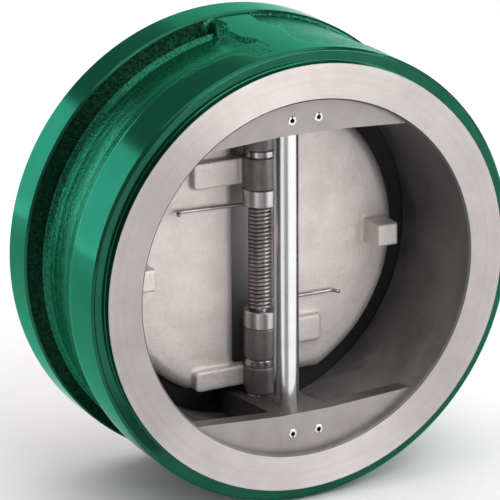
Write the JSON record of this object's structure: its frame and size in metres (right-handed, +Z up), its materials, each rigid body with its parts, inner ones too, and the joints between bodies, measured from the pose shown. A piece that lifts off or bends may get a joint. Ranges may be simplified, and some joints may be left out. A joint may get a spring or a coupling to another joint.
{
  "type": "wafer check valve",
  "caption": "Dual-plate wafer check valve: short round body clamped between pipe flanges, two spring-closed half-round plates on a vertical hinge pin.",
  "frame": {"origin": "on the flow axis, midway between the two end faces", "axes": "+Z up along the hinge and stop pins, +Y along the flow axis towards the inlet face, the outlet face looks along -Y"},
  "size_m": [0.222, 0.098, 0.222],
  "materials": {
    "body_paint": "gloss green enamel over cast iron; end faces and bore bare machined metal",
    "seal_rubber": "matt black moulded rubber",
    "retainer_steel": "milled, matt grey",
    "pin_steel": "ground",
    "stop_pin_steel": "polished stainless bar",
    "plate_casting": "pickled stainless sand casting, matt",
    "spring_steel": "drawn spring wire",
    "ring_steel": "turned",
    "bearing_steel": "turned, bright",
    "roll_pin_steel": "bright rolled steel"
  },
  "bodies": {
    "root": {"body": "body_paint", "seat_seal": "seal_rubber", "upper_retainer": "retainer_steel", "lower_retainer": "retainer_steel", "hinge_pin": "pin_steel", "stop_pin": "stop_pin_steel", "torsion_spring": "spring_steel", "upper_spring_ring": "ring_steel", "lower_spring_ring": "ring_steel", "upper_plate_lug_bearing": "bearing_steel", "lower_plate_lug_bearing": "bearing_steel", "upper_body_lug_bearing": "bearing_steel", "lower_body_lug_bearing": "bearing_steel", "upper_left_roll_pin": "roll_pin_steel", "upper_right_roll_pin": "roll_pin_steel", "lower_left_roll_pin": "roll_pin_steel", "lower_right_roll_pin": "roll_pin_steel"},
    "left_plate_body": {"left_plate": "plate_casting"},
    "right_plate_body": {"right_plate": "plate_casting"}
  },
  "joints": [
    {"name": "left_plate_hinge", "type": "hinge", "parent": "root", "child": "left_plate_body", "pos_m": [0, 0.0008, 0], "axis": [0, 0, 1], "range_deg": [0, 80], "stiffness_Nm_per_rad": 0.29, "springref_deg": -74.48, "deforming": ["torsion_spring"]},
    {"name": "right_plate_hinge", "type": "hinge", "parent": "root", "child": "right_plate_body", "pos_m": [0, 0.0008, 0], "axis": [0, 0, -1], "range_deg": [0, 80], "stiffness_Nm_per_rad": 0.29, "springref_deg": -74.48, "deforming": ["torsion_spring"]}
  ]
}
